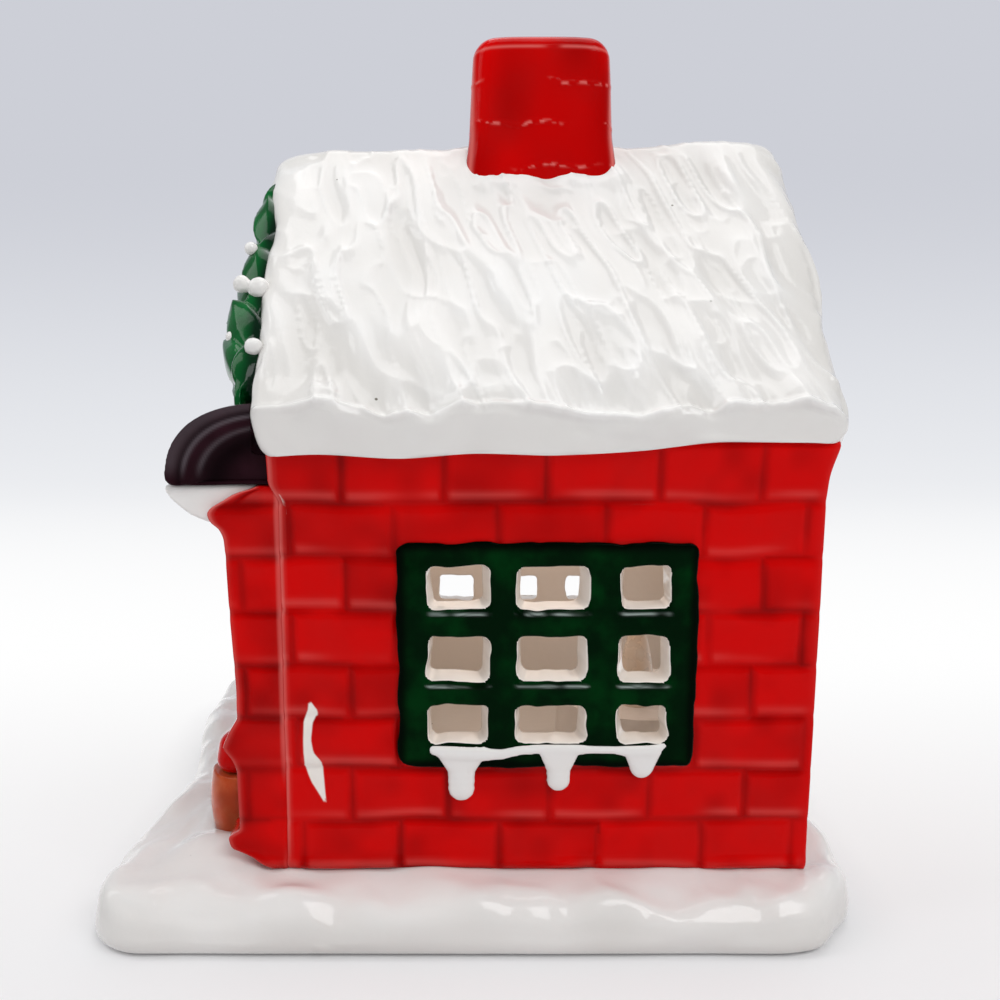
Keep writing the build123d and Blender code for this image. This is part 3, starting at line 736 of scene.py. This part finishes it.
def plain_slopes(mesh):
    """Presses the broad brush strokes back into the roof's slopes, to make room for finer ones."""
    widest = max(mesh.polygons, key=lambda face: face.area * (face.normal.z > 0.4))
    turn = math.copysign(1, widest.center.x)
    normal, centre = (np.array(vector) * (turn, 1, 1) for vector in (widest.normal, widest.center))
    flat = np.empty(len(mesh.vertices) * 3)
    mesh.vertices.foreach_get("co", flat)
    points = flat.reshape(-1, 3)
    side = np.where(points[:, 0] < 0, -1, 1)[:, None] * (1, 0, 0) + (0, 1, 1)
    height = np.maximum((points * side - centre) @ normal, 0)
    mesh.vertices.foreach_set("co", (points - height[:, None] * normal * side).ravel())
    return mesh


# Brush strokes in the snow: their size along the roof, down its slope, and from side to side
broad_strokes, narrow_strokes, fine_strokes = (6.5, 20, 60), (3.6, 15, 60), (2.4, 11, 60)


def roof_strokes(points, to_end):
    """How far the strokes, the eave's rim and the snow round the chimney stand out of the slopes."""
    across = np.abs(points[:, 0])
    down = across / math.cos(pitch)
    lean = 0.12 + 0.15 * smooth_step(-30, 10, points[:, 1])
    slope = np.stack([points[:, 1] - lean * (down - 35), down, 30 * np.sign(points[:, 0])], axis=1)
    slope[:, 0] += 1.5 * lumps(slope, 14, 31)
    strokes = 0.6 * lumps(slope, broad_strokes, 32) + 0.3 * crests(slope, broad_strokes, 32) ** 2
    strokes += 0.3 * lumps(slope, narrow_strokes, 33) + 0.55 * crests(slope, narrow_strokes, 33) ** 2
    strokes += 0.12 * lumps(slope, fine_strokes, 41) + 0.25 * crests(slope, fine_strokes, 41) ** 2
    calm = 0.35 + 0.65 * smooth_step(2, 14, down)
    strokes = calm * strokes + 0.4 * lumps(points, 16, 34)
    to_eave = (eave_half - across) / math.cos(pitch)
    strokes += 0.6 * bump(to_eave, 0.9, 0.7) - 0.8 * round_off(to_end, 4)
    to_chimney = outside_box(points, *corners("chimney"))
    strokes += bump(to_chimney, 0, 2.5) * (0.5 + 0.35 * lumps(points, 5, 36))
    return strokes


def bend_roof(points, across, to_front, to_back):
    """Bends the ends, the ridge and the eaves of the roof, as hand-shaped snow."""
    front, back = smooth_step(7, 0, to_front), smooth_step(7, 0, to_back)
    wave = lumps(points * (0.6, 0, 1), 10, 38)
    points[:, 1] += back * 0.4 * wave - front * 1.0 * wave
    points[:, 1] += round_off(points[:, 2] - eave_z, 8) * (3.0 * front - 2.0 * back)
    upper_end = smooth_step(34, 4, across) * (1.2 * back - 3.4 * front)
    points[:, 1] += upper_end + 1.2 * back * bump(across, 26, 14)
    along = points * (0, 1, 0)
    ridge = smooth_step(20, 4, across)
    points[:, 2] -= ridge * (4.5 * round_off(to_front, 11) + 5.0 * round_off(to_back, 7))
    points[:, 2] += ridge * (0.7 + 1.5 * smooth_step(20, 55, points[:, 1]))
    crest = smooth_step(eave_half - 7, eave_half - 2, across)
    crest = crest * smooth_step(eave_z + 2, eave_z + 6, points[:, 2])
    points[:, 2] += crest * (1.5 * lumps(along, 9, 35) + 0.7 * lumps(along, 4, 28))
    hem = smooth_step(eave_z + 5, eave_z, points[:, 2]) * smooth_step(wall_half, wall_half + 1, across)
    points[:, 2] += hem * (0.6 * lumps(along, 14, 39) + 2.0 * smooth_step(10, 45, points[:, 1]))


def make_roof():
    roof = cast("glazed_roof", plain_slopes(frame["nodes"]["roof"].data.copy()), 0.5, 4)
    points, normals = places(roof), facing(roof)
    across = np.abs(points[:, 0])
    upper = smooth_step(0.25, 0.6, normals[:, 2])
    under = smooth_step(-0.2, -0.5, normals[:, 2])
    side = (1 - upper) * (1 - under)
    to_front, to_back = points[:, 1] - roof_front, roof_back - points[:, 1]
    strokes = roof_strokes(points, np.minimum(to_front, to_back))
    ragged = 0.6 * lumps(points, 8, 37) + 0.25 * lumps(points, 3.5, 40)
    push_out(roof, upper * strokes + side * ragged)
    points = places(roof)
    bend_roof(points, across, to_front, to_back)
    reshape(roof, points)
    smoothed(roof, 1)
    # Glaze pooled in the hollows between strokes, and the eave's faces darker than the slopes as painted
    # shade.
    paint(roof, "pooling_and_shade", upper * np.clip(0.45 - 0.55 * strokes, 0, 0.9) + 0.3 * side)
    dress(roof, "roof")


# Side windows: where the hand-cut panes start and end along and up the wall, in front and behind

pane_front_y = (-9.2, 2.1, 6.8, 19.8, 25.2, 34.3)
pane_back_y = (-8.4, 0.6, 8.0, 18.4, 26.6, 33.6)
pane_front_z = (36.0, 43.3, 47.8, 56.2, 61.3, 69.0)
pane_back_z = (36.2, 42.9, 48.5, 55.9, 61.7, 68.7)
muntin = 5.0
frame_border = 4.6
# A lip of glaze below each pane, and a painted highlight along it
lip_drop, lip_width, glint_width = 0.8, 0.55, 0.2


def even_panes(low, high):
    """The edges of three equal panes between a window's two borders."""
    start, end = low + frame_border, high - frame_border
    pane = (end - start - 2 * muntin) / 3
    return [start + i * (pane + muntin) + edge for i in range(3) for edge in (0, pane)]


def cut_panes(points, low, high):
    """Moves the even panes of a window to where the hand-cut ones are."""
    depth = np.abs(points[:, 0]) - inner_half
    back_share = 1 - np.clip(depth / (high[0] - low[0]), 0, 1)
    for axis, front_edges, back_edges in ((1, pane_front_y, pane_back_y), (2, pane_front_z, pane_back_z)):
        even = [low[axis], *even_panes(low[axis], high[axis]), high[axis]]
        in_front = np.interp(points[:, axis], even, [low[axis], *front_edges, high[axis]])
        behind = np.interp(points[:, axis], even, [low[axis], *back_edges, high[axis]])
        points[:, axis] = in_front + back_share * (behind - in_front)


def below_panes(points, width):
    """1 along the lines just below the upper panes, and 0 away from them."""
    near = np.zeros(len(points))
    for left, right in zip(pane_front_y[::2], pane_front_y[1::2]):
        within = smooth_step(-0.6, 0.6, np.minimum(points[:, 1] - left, right - points[:, 1]))
        for foot in pane_front_z[2::2]:
            near = np.maximum(near, within * bump(points[:, 2], foot - lip_drop, width))
    return near


def make_window(node, sign):
    window = cast_node(node, 0.35, 1)
    points, normals = places(window), facing(window)
    low, high = corners(node)
    cut_panes(points, low, high)
    flat = points * (0.4, 1, 1)
    points[:, 1] += 0.4 * lumps(flat, 4.5, 41) + 0.15 * lumps(flat, 1.8, 42)
    points[:, 2] += 0.35 * lumps(flat, 5.0, 43) + 0.15 * lumps(flat, 1.8, 44)
    face = smooth_step(0.4, 0.8, sign * normals[:, 0])
    points[:, 0] += sign * face * (0.2 * lumps(points, 6, 45))
    lip, run = below_panes(points, lip_width), below_panes(points, glint_width)
    points[:, 0] += sign * face * 0.5 * lip
    reshape(window, points)
    y_edge = np.minimum(points[:, 1] - low[1], high[1] - points[:, 1])
    z_edge = np.minimum(points[:, 2] - low[2], high[2] - points[:, 2])
    to_rim = np.minimum(y_edge, z_edge)
    paint(window, "pooling_and_shade", 0.9 * smooth_step(2.2, 0.6, to_rim) + 0.5 * lip)
    cut = smooth_step(0.62, 0.5, sign * normals[:, 0]) * smooth_step(2.5, 3.2, to_rim)
    paint(window, "bare", cut)
    # A broken pale line along each lip: painted highlight.
    paint(window, "painted_highlight", 0.8 * face * run * smooth_step(-0.5, 0.1, lumps(points, 2.5, 46)))
    dress(window, node)


# Snow on the sills, painted on as one band with three drips: place along the wall, height and radius
sill_band = [
    (-8.0, 35.0, 1.0), (-5.5, 34.4, 1.5), (-0.6, 34.2, 1.5), (4.3, 34.2, 1.1), (7.8, 35.0, 1.0),
    (11.3, 35.2, 1.0), (17.2, 35.1, 1.1), (21.0, 35.1, 0.9), (25.0, 35.0, 0.9), (27.4, 34.8, 1.2),
    (31.6, 34.9, 1.2), (33.6, 35.8, 0.7),
]
# Each drip: its place along the wall, half width of its root, its own radius, and its foot
sill_drips = [(-3.0, 5.0, 2.7, 24.6), (14.8, 3.9, 2.4, 26.5), (30.0, 3.6, 2.3, 29.0)]
sill_root = 34.6
drip_flatness = 0.5
snow_proud = 0.4


def make_sill_snow(node, sign):
    blank = Blank()
    window_low, window_high = corners("right_window")
    chains = [sill_band]
    for along, half, radius, foot in sill_drips:
        neck = (along, sill_root - 3.2, radius)
        chains.append([neck, (along, foot + radius, 0.95 * radius)])
        for share in np.linspace(-1, 1, 7):
            chains.append([(along + share * (half - 0.9), sill_root + 0.3, 0.9), neck])
    for chain in chains:
        stops = []
        for y, z, radius in chain:
            face = window_high[0] if z > window_low[2] else wall_half
            stops.append((face + snow_proud, y, z, radius))
        blank.chain(stops, (drip_flatness, 1, 1))
    snow = cast("glazed_" + node, blank.mesh(node), 0.3, 6)
    store_side(snow, places(snow), sign)
    dress(snow, node)


# Awning and its white soffit

awning_rim = 1.7
awning_step = 4.6
awning_squareness = 2.5
awning_growth = 1.02
soffit_tip = 1.0
soffit_inset = 1.2


def make_awning():
    low, high = corners("awning")
    corner_fill = Blank()
    for end in ((low[0] + 0.4, low[0] + 6), (high[0] - 6, high[0] - 0.4)):
        corner_fill.block((end[0], roof_front - 2, eave_z - 3), (end[1], high[1] - 0.4, eave_z + 4))
    awning = cast_node("awning", 0.35, 4, corner_fill)
    points, normals = places(awning), facing(awning)
    reach = (high[1] - points[:, 1]) / (high[1] - low[1])
    rise = np.maximum(points[:, 2] - low[2], 0) / (high[2] - low[2])
    radius = np.maximum(np.hypot(reach, rise), 0.01)
    to_rim = (1 - radius) * (high[2] - low[2])
    end = smooth_step(0.6, 0.9, np.abs(normals[:, 0]))
    groove = bump(to_rim, awning_rim, 0.4)
    dish = smooth_step(awning_step - 1.5, awning_step + 1.0, to_rim)
    push_out(awning, 0.25 * lumps(points, 13, 51) - 0.1 - end * (0.4 * groove + 1.3 * dish))
    points = places(awning)
    share = np.abs(reach / radius) ** awning_squareness + np.abs(rise / radius) ** awning_squareness
    swell = share ** (-np.minimum(radius, 1) ** 2 / awning_squareness)
    points[:, 1] = high[1] - (high[1] - points[:, 1]) * swell * awning_growth
    points[:, 2] = low[2] + (points[:, 2] - low[2]) * swell * awning_growth
    reshape(awning, points)
    # Darker deep in the dished end and along its groove: painted shade.
    paint(awning, "pooling_and_shade", end * (0.9 * bump(to_rim, awning_step + 1.8, 2.2) + 0.6 * groove))
    # Pale bands along the rim of the end, on its upper part only: painted highlights.
    lines = 0.25 * smooth_step(1.9, 0.6, to_rim)
    for place, share in ((2.2, 0.5), (4.2, 0.35)):
        lines += share * bump(to_rim, place, 0.3)
    paint(awning, "painted_highlight", end * lines * smooth_step(0.05, 0.3, rise))
    dress(awning, "awning")


def make_soffit():
    low, high = corners("awning_soffit")
    strip = Blank()
    strip.block((low[0], high[1] - 2, high[2] - 3), (high[0], wall_front, high[2]))
    soffit = cast_node("awning_soffit", 0.5, 3, strip)
    push_out(soffit, 0.3 * lumps(places(soffit), 9, 53))
    points = places(soffit)
    awning_front = corners("awning")[0][1]
    stretch = (high[1] - awning_front + soffit_tip) / (high[1] - low[1])
    points[:, 1] += (stretch - 1) * np.minimum(points[:, 1] - high[1], 0)
    points[:, 0] *= 1 - soffit_inset / high[0]
    reshape(soffit, points)
    dress(soffit, "awning_soffit")


# Leaf garlands with their white berries

ridge_rounding = 2.0
stem_radius = 2.6
leaf_steps = 7
leaf_start = 13.0
leaf_gap = 5.5
leaf_length, leaf_width, leaf_thickness, leaf_arch = 13, 6.6, 1.4, 1.2


def rake_place(across, inset=6.0):
    """A place on the right rake, that far across from the ridge and set in below the roof's top."""
    top = roof_high[2] + ridge_rounding - across * math.tan(pitch)
    return np.array([across, roof_front, top - inset / math.cos(pitch)])


def make_garland(node, sign):
    """A stem with three lanes of leaves, of which the lowest starts one step later."""
    blank = Blank()
    uphill = np.array([-math.cos(pitch), 0, math.sin(pitch)])
    forward = np.array([0.0, -1, 0])
    outward = np.array([math.sin(pitch), 0, math.cos(pitch)])
    stem = []
    for across in np.linspace(14, 44, 10):
        stem.append((*(rake_place(across) + forward * (across / 40 - 0.4)), stem_radius))
    blank.chain(stem)
    for step, lane in itertools.product(range(leaf_steps), (0, 1, 2)):
        if (step, lane) == (0, 2):
            continue
        turn = (1 if step % 2 else -1) * (0.7 + 0.5 * math.sin(4 * step + lane))
        across = leaf_start + (step + lane / 3) * leaf_gap
        reach = uphill + 0.3 * turn * forward + (0.1, 0.0, -0.15)[lane] * outward
        reach /= np.linalg.norm(reach)
        face = (outward + 0.6 * turn * forward, forward + 0.4 * turn * outward, forward - 0.8 * outward)[lane]
        face = face - reach * (face @ reach)
        face /= np.linalg.norm(face)
        root = rake_place(across, (4.2, 6.2, 8.4)[lane])
        root += forward * ((1.6 - 0.9 * turn, 2.3, 1.2)[lane] + across / 60)
        size = 1 + 0.2 * math.sin(3 * step + lane)
        blank.leaf(root, reach, face, leaf_length * size, leaf_width * size, leaf_thickness, leaf_arch)
    garland = cast("glazed_" + node, blank.mesh(node), 0.35, 3)
    points = places(garland)
    points[:, 0] = np.maximum(points[:, 0], -0.2)
    points[:, 1] = np.minimum(points[:, 1], roof_front + 1.5)
    points = store_side(garland, points, sign)
    # Leaves darker where they lie in against the roof: painted shade.
    shade_near_roof = smooth_step(4.0, 1.0, roof_front - points[:, 1])
    paint(garland, "pooling_and_shade", 0.9 * shade_near_roof + 0.4 * lumps(points, 5, 60))
    dress(garland, node)


# White balls on the right rake, as how far across, how far forward, how high and how large
berry_places = [
    (23.2, 4.7, 126.2, 1.4), (30.7, 5.3, 118.9, 1.8), (31.4, 1.9, 118.2, 2.2),
    (42.6, 1.2, 107.4, 1.7), (36.0, 6.4, 109.0, 1.3),
]


def make_berries():
    blank = Blank()
    for (across, forward, height, radius), sign in itertools.product(berry_places, (1, -1)):
        blank.ball((sign * across, roof_front - forward, height), np.full(3, radius))
    berries = cast("glazed_garland_berries", blank.mesh("garland_berries"), 0.25, 2)
    push_out(berries, 0.15 * lumps(places(berries), 1.8, 61))
    dress(berries, "garland_berries")


# Smaller ceramic pieces keep their CAD form, softened and uneven under the glaze
small_pieces = {
    "door_step": (0.5, 0.3),
    "front_door": (0.3, 0.12),
    "door_frame": (0.4, 0.25),
    "door_knob": (0.2, 0.05),
    "right_front_window": (0.3, 0.12),
    "left_front_window": (0.3, 0.12),
    "plant_tub": (0.4, 0.3),
    "tub_plant": (0.35, 0.5),
}
plant_squash = 0.7


def make_small_pieces():
    for number, (node, (voxel, unevenness)) in enumerate(small_pieces.items()):
        piece = cast_node(node, voxel, 2)
        points = places(piece)
        push_out(piece, unevenness * lumps(points, 5, 70 + number))
        if node == "tub_plant":
            foot = corners(node)[0][2]
            points = places(piece)
            points[:, 2] = foot + plant_squash * (points[:, 2] - foot)
            reshape(piece, points)
        paint(piece, "pooling_and_shade", 0.3 + 0.5 * lumps(points, 4, 80 + number))
        dress(piece, node)


# Tea light pieces stay as they are in the frame, with their own finishes


def finish_tea_light():
    for node, body in body_of.items():
        if body != "house":
            frame["nodes"][node].material_slots[0].material = finishes[slot_of[node]]


# Camera, light and backdrop


def make_camera():
    camera = bpy.data.cameras.new("camera")
    camera.sensor_width = 36
    camera.lens = 37.84
    camera.shift_x = 0.0435
    stand = link(bpy.data.objects.new("camera", camera))
    stand.location = (0.235, -0.0039, 0.1111)
    stand.rotation_euler = (math.radians(90 - 9.4), 0, math.radians(90))
    bpy.context.scene.camera = stand


def make_lamp(name, place, target, size, power, mirrored=True):
    lamp = bpy.data.lights.new(name, "AREA")
    lamp.shape = "RECTANGLE"
    lamp.size, lamp.size_y = size
    lamp.energy = power
    stand = link(bpy.data.objects.new(name, lamp))
    stand.location = place
    aim = np.array(target) - np.array(place)
    flat = math.hypot(aim[0], aim[1])
    stand.rotation_euler = (math.atan2(flat, -aim[2]), 0, math.atan2(-aim[0], aim[1]))
    stand.visible_camera = False
    stand.visible_glossy = mirrored


def backdrop_look():
    """An even pale ground as it is seen, with a soft shade where the base stands on it."""
    tree = Tree("backdrop")
    place = tree.nodes.new("ShaderNodeSeparateXYZ")
    tree.feed(place.inputs["Vector"], tree.where)
    tree.set(Base_Color=srgb(236, 235, 237), Roughness=0.9, Specular_IOR_Level=0.1)
    high = tree.band(place.outputs["Z"], 0.0, 0.255)
    far = tree.band(place.outputs["X"], -0.1, -0.72)
    shade = tree.mix(far, srgb(255, 255, 255), srgb(226, 228, 233))
    shade = tree.mix(high, shade, srgb(205, 207, 215))
    glow = tree.nodes.new("ShaderNodeEmission")
    tree.feed(glow.inputs["Color"], shade)
    rays = tree.nodes.new("ShaderNodeLightPath")
    seen = tree.combine("MAXIMUM", rays.outputs["Is Camera Ray"], rays.outputs["Is Glossy Ray"])
    seen = tree.combine("MAXIMUM", seen, rays.outputs["Is Transmission Ray"])
    nearby = tree.nodes.new("ShaderNodeAmbientOcclusion")
    nearby.inputs["Distance"].default_value = 12 * MM
    open_floor = tree.times(tree.band(place.outputs["X"], 0.1, -0.12, 0.44, 1.0), nearby.outputs["AO"])
    blend = tree.nodes.new("ShaderNodeMixShader")
    tree.feed(blend.inputs["Fac"], tree.times(seen, open_floor))
    tree.feed(blend.inputs[1], tree.shader.outputs["BSDF"])
    tree.feed(blend.inputs[2], glow.outputs["Emission"])
    tree.feed(tree.nodes["Material Output"].inputs["Surface"], blend.outputs["Shader"])
    return tree.material


def make_stage():
    """A pale floor that sweeps up into a backdrop behind the house."""
    profile = [(1.2, 0.0), (0.3, 0.0), (-0.06, 0.0), (-0.16, 0.0), (-0.45, 0.0)]
    bend, radius = 8, 0.25
    for step in range(1, bend + 1):
        angle = 0.5 * math.pi * step / bend
        profile.append((-0.45 - radius * math.sin(angle), radius - radius * math.cos(angle)))
    profile.append((-0.70, 1.2))
    half = 1.4
    points = [(x, y, z) for x, z in profile for y in (-half, half)]
    faces = [(2 * i, 2 * i + 1, 2 * i + 3, 2 * i + 2) for i in range(len(profile) - 1)]
    mesh = bpy.data.meshes.new("backdrop")
    mesh.from_pydata(points, [], faces)
    mesh.shade_smooth()
    backdrop = link(bpy.data.objects.new("backdrop", mesh))
    mesh.materials.append(backdrop_look())


def make_light():
    world = bpy.data.worlds.new("world")
    world.use_nodes = True
    world.node_tree.nodes["Background"].inputs["Color"].default_value = (0.97, 0.98, 1.0, 1)
    world.node_tree.nodes["Background"].inputs["Strength"].default_value = 0.3
    bpy.context.scene.world = world
    make_lamp("top_light", (-0.12, 0.04, 0.62), (0, 0, 0.1), (0.4, 0.4), 1.1)
    make_lamp("front_light", (0.55, 0.38, 0.72), (0, 0, 0.06), (0.6, 0.3), 2.8)
    make_lamp("left_light", (0.12, -0.55, 0.55), (0, 0, 0.04), (0.3, 0.5), 1.35)
    make_lamp("fill_light", (0.8, 0.2, 0.3), (0, 0, 0.07), (0.8, 0.8), 0.8, mirrored=False)
    glow = bpy.data.lights.new("room_light", "POINT")
    glow.energy = 0.021
    glow.color = (1.0, 0.79, 0.66)
    glow.shadow_soft_size = 0.02
    stand = link(bpy.data.objects.new("room_light", glow))
    stand.location = (0, 0.01, 0.085)
    stand.visible_camera = False


make_camera()
make_base()
make_side_wall("right_wall", 1)
make_side_wall("left_wall", -1)
make_gable("front_wall", wall_front)
make_gable("back_wall", wall_back)
make_pillar("right_pilaster", 1)
make_pillar("left_pilaster", -1)
make_chimney()
make_roof()
make_window("right_window", 1)
make_window("left_window", -1)
make_sill_snow("right_sill_snow", 1)
make_sill_snow("left_sill_snow", -1)
make_awning()
make_soffit()
make_garland("right_garland", 1)
make_garland("left_garland", -1)
make_berries()
make_small_pieces()
finish_tea_light()
make_stage()
make_light()

bpy.context.scene.view_settings.view_transform = "Standard"
